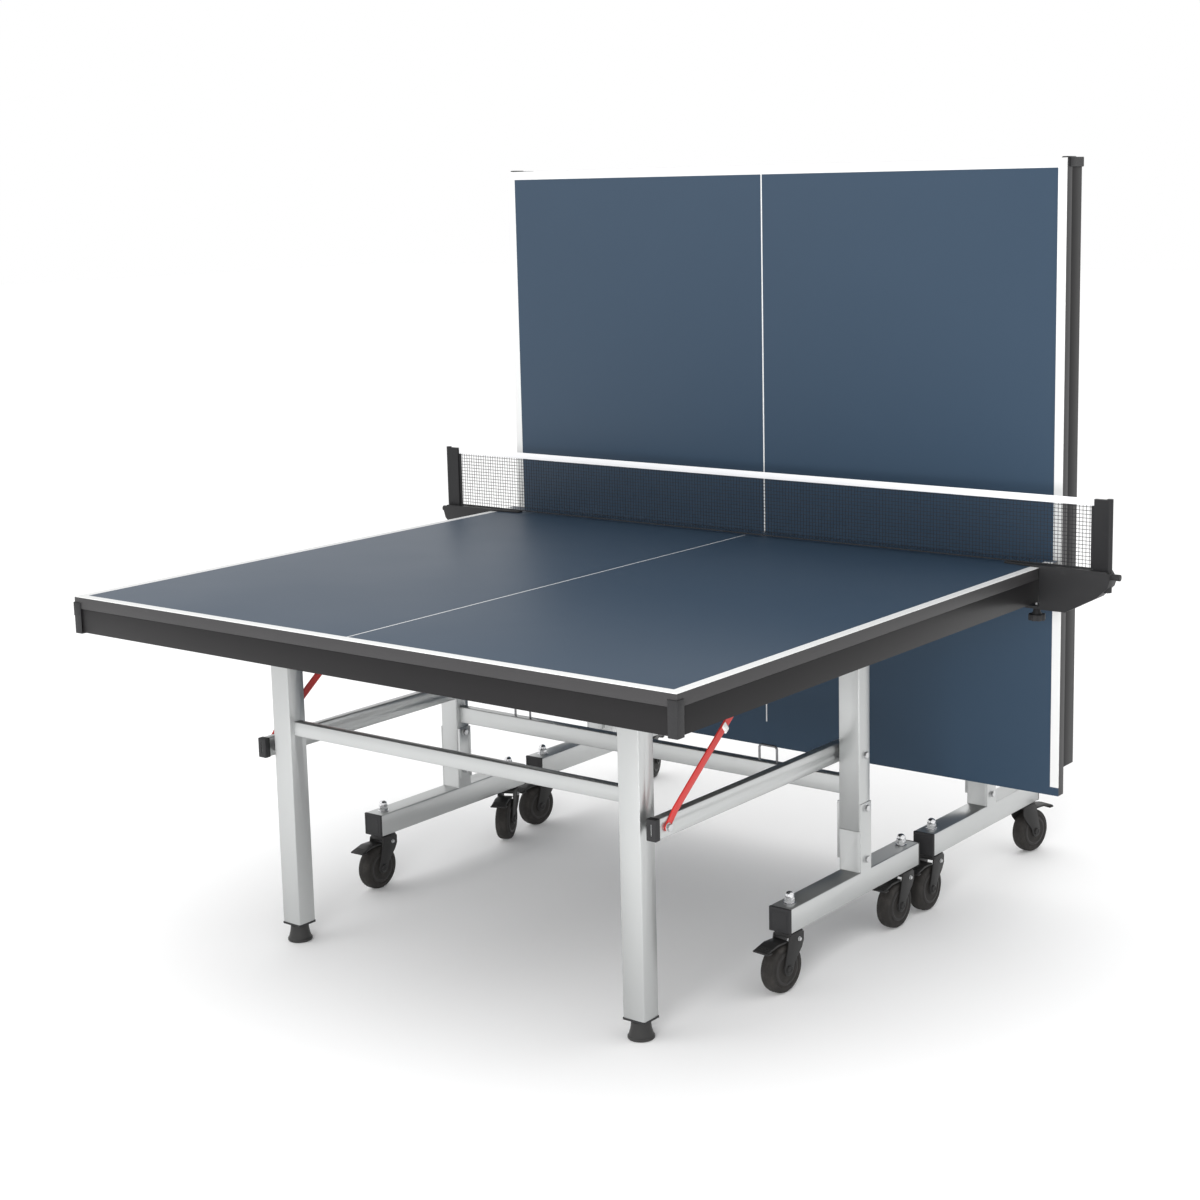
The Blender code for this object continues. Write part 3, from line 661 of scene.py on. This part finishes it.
def squareCap(name, half, out, inward, width=0.0018):
    # moulded plug: flange over the tube's end, with a dished face and a small centre mark
    cap = block(name, (-half, -out, -half), (half, inward, half), width, 3)
    pickFaces(cap, lambda centre, normal: normal.y < -0.99)
    bpy.ops.mesh.inset(thickness=half * 0.16)
    bpy.ops.mesh.extrude_region_move(TRANSFORM_OT_translate={"value": (0, 0.0006, 0)})
    bpy.ops.mesh.inset(thickness=half * 0.10)
    bpy.ops.mesh.extrude_region_move(TRANSFORM_OT_translate={"value": (0, -0.0005, 0)})
    bpy.ops.object.mode_set(mode="OBJECT")
    shadeSoft(cap, 30)
    return cap


def pullIn(piece, box, depth):
    # draws both ends of a bar along y in, to leave room for its plugs
    low, high = box
    for vertex in piece.data.vertices:
        if vertex.co.y < low.y + depth / 2:
            vertex.co.y += depth
        elif vertex.co.y > high.y - depth / 2:
            vertex.co.y -= depth


def makeFrames():
    s = tubeSetting
    for half in halves:
        for label in ("left", "right"):
            frameNode = half + "_t_frame_" + label
            barFrame = softened(frameNode, silverPaint, 0.0007, 2)
            pullIn(barFrame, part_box(frameNode), s["capOut"] + s["capGap"])
            softened(half + "_link_" + label, silverPaint, 0.0007, 2)
            softened(half + "_lever_" + label, redPaint, 0.0007, 2)
        softened(half + "_leg_frame", silverPaint, 0.0007, 2)

    nut = domeNut("nut")
    paint(nut, chromePaint)
    cap = squareCap("cap", 0.0251, s["capOut"], s["capIn"])
    paint(cap, capPaint)
    turnBack = Matrix.Rotation(math.pi, 4, "Z")
    for half in halves:
        for side in (1, -1):
            label = sideName("near", side)
            low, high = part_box(half + "_t_frame_" + label)
            x = side * s["barMiddle"]
            for end in ("outer", "inner"):
                stem = joints[half + "_swivel_" + end + "_" + label]["pos_m"]
                stamp(nut, half + "StemNut" + end.capitalize() + label.capitalize(),
                      at(stem[0], stem[1], s["barTop"]), half + "_chassis")
            middle = s["barTop"] - 0.025
            stamp(cap, half + "BarCapFront" + label.capitalize(), at(x, low.y + s["capOut"], middle),
                  half + "_chassis")
            stamp(cap, half + "BarCapBack" + label.capitalize(),
                  at(x, high.y - s["capOut"], middle) @ turnBack, half + "_chassis")
    discard(nut, cap)


boltSetting = {
    # height of each bolt, and the face of the frame that it sits on
    "outside": ((0.418, "upOut"), (0.307, "barOut"), (0.199, "barOut"), (0.712, "upOut")),
    "inside": (0.307, 0.215),  # through the inner splice plate
    "linkFace": 0.500,
    "lugFace": 0.4862,
    "leverFace": 0.5237,
    "sink": 0.0003,
}


def makeBolts():
    s, b = tubeSetting, boltSetting
    frameBolt = hexHead("frameBolt", 0.0130, 0.0060, 0.0088)
    paint(frameBolt, zincPaint)
    for z, face in b["outside"]:
        stampSides(frameBolt, "FrameBolt%dOut" % round(z * 1000),
                   at(s[face] - b["sink"], upPivot.y, z) @ along("x"), "chassis")
    for z in b["inside"]:
        stampSides(frameBolt, "FrameBolt%dIn" % round(z * 1000),
                   at(s["upIn"] - s["plate"] - b["sink"], upPivot.y, z) @ along("-x"),
                   "chassis")
    stampSides(frameBolt, "LinkNut", at(b["linkFace"] + 0.0002, linkPivot.y, linkPivot.z) @ along("-x"),
               "link")
    stampSides(frameBolt, "LegPivotNut", at(b["lugFace"], legPivot.y, legPivot.z) @ along("x"),
               "top")
    leverBolt = hexHead("leverBolt", 0.0130, 0.0055, 0.0084)
    paint(leverBolt, zincPaint)
    stampSides(leverBolt, "LeverBolt", at(b["leverFace"], lockPivot.y, lockPivot.z) @ along("x"),
               "legs")
    discard(frameBolt, leverBolt)


linkSetting = {"x": 0.510, "halfWidth": 0.0108, "halfHeight": 0.0208, "reach": 0.013, "spacerX": 0.4803}


def makeLinkEnds():
    s = linkSetting
    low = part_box("near_link_right")[0]
    cap = block("linkCap", (-s["halfWidth"], -0.0015, -s["halfHeight"]),
                (s["halfWidth"], s["reach"], s["halfHeight"]), 0.0016, 3)
    pickFaces(cap, lambda centre, normal: normal.y < -0.99)
    bpy.ops.mesh.inset(thickness=0.0070)
    bpy.ops.mesh.inset(thickness=0.0008)
    bpy.ops.mesh.extrude_region_move(TRANSFORM_OT_translate={"value": (0, 0.0030, 0)})
    bpy.ops.object.mode_set(mode="OBJECT")
    shadeSoft(cap, 30)
    paint(cap, capPaint)
    stampSides(cap, "LinkCap", at(s["x"], low.y, linkPivot.z), "link")
    spacer = turned("spacer", [(0.0098, 0.0), (0.0108, 0.0010), (0.0108, 0.0180), (0.0098, 0.0190)], 32)
    paint(spacer, capPaint)
    stampSides(spacer, "LinkSpacer", at(s["spacerX"], lockPivot.y, lockPivot.z) @ along("x"),
               "legs")
    discard(cap, spacer)


leverSetting = {"angle": 38.0, "sleeveAt": 0.234, "sleeveLength": 0.014, "sleeveHalf": 0.0100,
                "sleeveThick": 0.0064, "x": 0.5220}


def makeSleeves():
    # white sleeve that slides on each red bar
    s = leverSetting
    half = (s["sleeveLength"] / 2, s["sleeveHalf"], s["sleeveThick"] / 2)
    sleeve = block("sleeve", [-size for size in half], half, 0.0020, 3)
    pickFaces(sleeve, lambda centre, normal: abs(normal.z) > 0.99)
    bpy.ops.mesh.inset(thickness=0.0022)
    bpy.ops.mesh.extrude_region_shrink_fatten(TRANSFORM_OT_shrink_fatten={"value": 0.0010})
    bpy.ops.object.mode_set(mode="OBJECT")
    turnOutwards(sleeve)
    shadeSoft(sleeve, 30)
    paint(sleeve, sleevePaint)
    angle = math.radians(s["angle"])
    y = lockPivot.y + s["sleeveAt"] * math.cos(angle)
    z = lockPivot.z + s["sleeveAt"] * math.sin(angle)
    flat = Matrix(((0, 0, 1, 0), (1, 0, 0, 0), (0, 1, 0, 0), (0, 0, 0, 1)))
    place = at(s["x"], y, z) @ Matrix.Rotation(angle, 4, "X") @ flat
    stampSides(sleeve, "LeverSleeve", place, "lever")
    discard(sleeve)


legSetting = {"x": 0.455, "behind": 0.004, "bottom": 0.040, "halfWide": 0.0256, "halfDeep": 0.0231}


def makeFeet():
    s = legSetting
    legY = legPivot.y - s["behind"]
    plate = block("plate", (-s["halfWide"], -s["halfDeep"], -0.0030), (s["halfWide"], s["halfDeep"], 0.0022),
                  0.0014, 3)
    paint(plate, capPaint)
    stampSides(plate, "LegCap", at(s["x"], legY, s["bottom"]), "legs")
    foot = turned("foot", [(0.0235, 0.0), (0.0252, 0.0007), (0.0259, 0.0020), (0.0259, 0.0050),
                           (0.0252, 0.0062), (0.0243, 0.0066), (0.0236, 0.0078), (0.0224, 0.0122),
                           (0.0208, 0.0178), (0.0196, 0.0240), (0.0190, 0.0300), (0.0186, 0.0338),
                           (0.0174, 0.0346), (0.0066, 0.0346), (0.0060, 0.0352), (0.0060, 0.0600),
                           (0.0050, 0.0610)], 48, 40)
    paint(foot, footPaint)
    markFaces(foot, zincPaint, lambda centre, normal: centre.z > 0.0349)
    for half in halves:
        for side in (1, -1):
            label = sideName(half, side)
            place = groupPlaces[half, "legs"] @ at(side * s["x"], legY, 0)
            stamp(foot, half + "Foot" + label.capitalize(), place, half + "_foot_" + label,
                  (half + "_foot_" + label,))
    discard(plate, foot)


crossSetting = {"low": 0.331, "high": 0.369, "depth": 0.022, "handleX": 0.338, "handleWide": 0.044,
                "handleHigh": 0.036, "wire": 0.0026, "bend": 0.007}


def wireLoop(name, s):
    # bent wire handle that stands on the tube
    half = s["handleWide"] / 2
    top = s["handleHigh"] - s["wire"]
    points = [(-half, -0.002)]
    for start, sign in ((180, -1), (90, 1)):
        for i in range(7):
            turn = math.radians(start - 90 * i / 6)
            points.append((sign * (half - s["bend"]) + s["bend"] * math.cos(turn),
                           top - s["bend"] + s["bend"] * math.sin(turn)))
    points.append((half, -0.002))
    curve = bpy.data.curves.new(name, "CURVE")
    curve.dimensions = "3D"
    curve.bevel_depth = s["wire"]
    curve.bevel_resolution = 4
    curve.use_fill_caps = True
    spline = curve.splines.new("POLY")
    spline.points.add(len(points) - 1)
    for i, (x, z) in enumerate(points):
        spline.points[i].co = (x, 0, z, 1)
    loop = bpy.data.objects.new(name, curve)
    bpy.context.scene.collection.objects.link(loop)
    activate(loop)
    bpy.ops.object.convert(target="MESH")
    loop = bpy.context.object
    shadeSoft(loop, 60)
    return loop


def makeCrossbars():
    s = crossSetting
    for half in halves:
        low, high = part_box(half + "_crossbar")
        y = (low.y + high.y) / 2
        tube = block(half + "CrossTube", (low.x, y - s["depth"] / 2, s["low"]),
                     (high.x, y + s["depth"] / 2, s["high"]), 0.0024, 3)
        paint(tube, silverPaint)
        settled(tube, half + "_chassis", (half + "_crossbar",))
    loop = wireLoop("loop", s)
    paint(loop, wirePaint)
    stampSides(loop, "Handle", at(s["handleX"], upPivot.y, s["high"]), "chassis")
    discard(loop)


makeFrames()
makeBolts()
makeLinkEnds()
makeSleeves()
makeFeet()
makeCrossbars()
print("frames, links, levers and legs are done")


# casters

casterSetting = {"radius": 0.050, "half": 0.0155, "trail": 0.028, "gap": 0.0025, "fork": 0.003}


gripSetting = {"firstLip": -0.0868, "lipStep": 0.005, "lipLow": 0.0990, "lipHigh": 0.0032, "slope": 0.28,
               "lipHalf": 0.0150, "lipThick": 0.0022, "tongueHalf": 0.0195, "tongueThick": 0.0035,
               "tongue": (-0.0922, -0.0784)}


def makeCasters():
    s = casterSetting
    r, w = s["radius"], s["half"]
    tyre = turned("tyre", [(0.0335, -w), (0.0352, -w + 0.0002), (0.0360, -w + 0.0012), (0.0372, -w + 0.0012),
                           (0.0380, -w + 0.0003), (0.0440, -w + 0.0006), (0.0468, -w + 0.0018),
                           (0.0488, -w + 0.0046), (0.0498, -w + 0.0084), (r, -w + 0.0120),
                           (r - 0.0001, -0.0004),
                           (r - 0.0004, -0.0003), (r - 0.0004, 0.0003), (r - 0.0001, 0.0004),
                           (r, w - 0.0120), (0.0498, w - 0.0084), (0.0488, w - 0.0046), (0.0468, w - 0.0018),
                           (0.0440, w - 0.0006), (0.0380, w - 0.0003), (0.0372, w - 0.0012),
                           (0.0360, w - 0.0012), (0.0352, w - 0.0002), (0.0335, w)], 64, 50)
    paint(tyre, treadPaint)
    hub = turned("hub", [(0.0090, -w - 0.0016), (0.0110, -w - 0.0014), (0.0118, -w - 0.0006),
                         (0.0124, -w + 0.0020), (0.0150, -w + 0.0032), (0.0250, -w + 0.0032),
                         (0.0268, -w + 0.0022), (0.0276, -w - 0.0004), (0.0290, -w - 0.0008),
                         (0.0322, -w - 0.0008), (0.0334, -w + 0.0002), (0.0338, -w + 0.0020),
                         (0.0338, w - 0.0020), (0.0334, w - 0.0002), (0.0322, w + 0.0008),
                         (0.0290, w + 0.0008), (0.0276, w + 0.0004), (0.0268, w - 0.0022),
                         (0.0250, w - 0.0032), (0.0150, w - 0.0032), (0.0124, w - 0.0020),
                         (0.0118, w + 0.0006), (0.0110, w + 0.0014), (0.0090, w + 0.0016)], 48, 40)
    paint(hub, hubPaint)
    for piece in (tyre, hub):
        laid(piece, at(0, -s["trail"], r) @ along("x"))

    race = turned("race", [(0.0165, 0.1168), (0.0180, 0.1172), (0.0186, 0.1182), (0.0186, 0.1196),
                           (0.0176, 0.1204), (0.0176, 0.1212), (0.0166, 0.1222), (0.0150, 0.1236)], 40, 40)
    paint(race, forkPaint)
    plateOut = w + s["gap"] + s["fork"]
    axleEnds = []
    for side in (1, -1):
        end = turned("axleEnd", [(0.0078, 0.0), (0.0082, 0.0004), (0.0082, 0.0022), (0.0072, 0.0034),
                                 (0.0040, 0.0038), (0.0036, 0.0030), (0.0012, 0.0028)], 32, 40)
        laid(end, at(side * (plateOut - 0.0002), -s["trail"], r) @ along("x" if side > 0 else "-x"))
        axleEnds.append(end)
    axle = joined("axle", axleEnds)
    paint(axle, forkPaint)
    crownNut = hexHead("crownNut", 0.0070, 0.0030, 0.0046, 0.0008)
    laid(crownNut, at(plateOut - 0.0002, 0.004, 0.1040) @ along("x"))
    paint(crownNut, zincPaint)

    g = gripSetting
    lips = []
    for i in range(3):
        y = g["firstLip"] + i * g["lipStep"]
        low = g["lipLow"] + i * g["lipStep"] * g["slope"]
        lips.append(block("lip", (-g["lipHalf"], y - g["lipThick"] / 2, low),
                          (g["lipHalf"], y + g["lipThick"] / 2, low + g["lipHigh"]), 0.0007, 2))
    tongue = block("tongue", (-g["tongueHalf"], g["tongue"][0], g["lipLow"] - g["tongueThick"]),
                   (g["tongueHalf"], g["tongue"][1], g["lipLow"]), 0.0012, 3)
    pedalGrip = joined("pedalGrip", lips + [tongue])
    paint(pedalGrip, forkPaint)

    for half in halves:
        for end in ("outer", "inner"):
            for label in ("left", "right"):
                tag = end + "_" + label
                title = half + end.capitalize() + label.capitalize()
                stem = joints[half + "_swivel_" + tag]["pos_m"]
                axis = joints[half + "_axle_" + tag]["axis"]
                place = at(stem[0], stem[1], 0) @ Matrix.Rotation(math.atan2(axis[1], axis[0]), 4, "Z")
                wheelBody = half + "_wheel_" + tag
                forkBody = half + "_fork_" + tag
                pedalBody = half + "_pedal_" + tag
                stamp(tyre, title + "Tyre", place, wheelBody, (wheelBody,))
                stamp(hub, title + "Hub", place, wheelBody)
                stamp(race, title + "Race", place, forkBody)
                stamp(axle, title + "AxleEnds", place, forkBody)
                stamp(crownNut, title + "CrownNut", place, forkBody)
                stamp(pedalGrip, title + "PedalGrip", place, pedalBody)
                softened(forkBody, forkPaint, 0.0008, 2)
                softened(pedalBody, forkPaint, 0.0009, 2)
    discard(tyre, hub, race, axle, crownNut, pedalGrip)


makeCasters()
print("casters are done")


# net, posts and brackets

netSetting = {"mesh": 0.0080, "thread": 0.0017, "tape": 0.0150, "tapeThick": 0.0024, "binding": 0.007}


def makeNet():
    s = netSetting
    low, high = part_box("net_mesh")
    middle = (low.y + high.y) / 2
    wide, tall = high.x - low.x, high.z - low.z
    clearSelection()
    bpy.ops.mesh.primitive_grid_add(x_subdivisions=round(wide / s["mesh"]),
                                    y_subdivisions=round(tall / s["mesh"]), size=1, location=(0, 0, 0))
    net = bpy.context.object
    net.name = "netThreads"
    net.scale = (wide - 0.004, tall - 0.004, 1)
    bpy.ops.object.transform_apply(location=True, rotation=True, scale=True)
    addModifier(net, "WIREFRAME", thickness=s["thread"], use_even_offset=False, use_boundary=True)
    laid(net, at(0, middle, (low.z + high.z) / 2) @ Matrix.Rotation(math.radians(90), 4, "X"))
    paint(net, threadPaint)
    settled(net, "near_top", ("net_mesh",))

    thick = s["tapeThick"] / 2
    tape = block("netTape", (low.x, middle - thick, high.z - s["tape"]),
                 (high.x, middle + thick, high.z), 0.0010, 3)
    paint(tape, tapePaint)
    settled(tape, "near_top")
    for side, label in ((1, "Right"), (-1, "Left")):
        ends = sorted((side * high.x, side * (high.x - s["binding"])))
        strip = block("netBinding" + label, (ends[0], middle - 0.0009, low.z),
                      (ends[1], middle + 0.0009, high.z - s["tape"]), 0.0006, 2)
        paint(strip, bindingPaint)
        settled(strip, "near_top")
    hem = block("netHem", (low.x, middle - 0.0010, low.z),
                (high.x, middle + 0.0010, low.z + 0.0024), 0.0008, 2)
    paint(hem, bindingPaint)
    settled(hem, "near_top")


def makeNetFittings():
    for label in ("left", "right"):
        softened("net_bracket_" + label, plasticPaint, 0.0014, 3)
        softened("net_post_" + label, plasticPaint, 0.0009, 3)
        clamp = softened("net_clamp_" + label, plasticPaint, 0.0009, 2)
        # the threaded part above the knob stays bare metal
        markFaces(clamp, zincPaint, lambda centre, normal: centre.z > 0.6697)


makeNet()
makeNetFittings()
print("net, posts and brackets are done")


# floor and light

def makeFloor():
    clearSelection()
    bpy.ops.mesh.primitive_plane_add(size=60, location=(0, 0, -0.0005))
    floor = bpy.context.object
    floor.name = "studioFloor"
    shop = PaintShop("floorPaper", 0.9, 0.0, 0.2)
    shop.colour(shop.mix(shop.noise(0.6, 2.0), rgb(0.93, 0.93, 0.93), rgb(0.95, 0.95, 0.95)))
    paint(floor, shop.material)


lightSetting = (
    # name, place, aimed at, size, power
    ("keyLight", (-2.6, -3.6, 4.2), (0.0, 0.0, 0.6), 3.0, 35.0),
    ("frontLight", (2.4, -5.2, 1.2), (0.0, 0.2, 1.0), 2.4, 260.0),
    ("backLight", (-1.0, 4.2, 3.4), (0.0, 0.4, 0.8), 3.0, 20.0),
)
skyLight = {"strength": 0.45, "spread": 60.0}


def setLights():
    for name, place, target, size, power in lightSetting:
        data = bpy.data.lights.new(name, "AREA")
        data.shape = "SQUARE"
        data.size = size
        data.energy = power
        light = bpy.data.objects.new(name, data)
        bpy.context.scene.collection.objects.link(light)
        light.location = place
        direction = Vector(target) - Vector(place)
        light.rotation_euler = direction.to_track_quat("-Z", "Y").to_euler()
        light.visible_glossy = name != "frontLight"  # too strong to be mirrored in a board
    sky = bpy.data.lights.new("skyLight", "SUN")
    sky.energy = skyLight["strength"]
    sky.angle = math.radians(skyLight["spread"])
    bpy.context.scene.collection.objects.link(bpy.data.objects.new("skyLight", sky))
    world = bpy.data.worlds.new("studioWorld")
    world.use_nodes = True
    world.node_tree.nodes["Background"].inputs["Color"].default_value = rgb(1.0, 1.0, 1.0)
    world.node_tree.nodes["Background"].inputs["Strength"].default_value = 1.0
    bpy.context.scene.world = world
    bpy.context.scene.view_settings.view_transform = "Standard"


makeFloor()
setLights()
print("floor and light are set")
